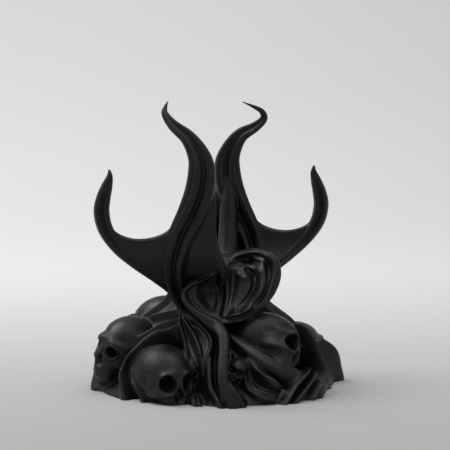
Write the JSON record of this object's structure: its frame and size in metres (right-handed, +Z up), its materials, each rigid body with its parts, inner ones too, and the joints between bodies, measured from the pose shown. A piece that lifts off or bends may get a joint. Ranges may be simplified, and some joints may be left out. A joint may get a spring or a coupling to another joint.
{
  "type": "game controller stand",
  "caption": "One-piece printed stand: skulls under folded drapery, and two clawed petals that hold a game controller upright between them.",
  "frame": {"origin": "on the floor plane, under the upright axis of the stand", "axes": "+Z up, +X to the right as the stand is pictured, front faces -Y"},
  "size_m": [0.1214, 0.116, 0.1364],
  "materials": {
    "print": "satin black printed plastic"
  },
  "bodies": {
    "root": {"stand": "print"}
  },
  "joints": []
}
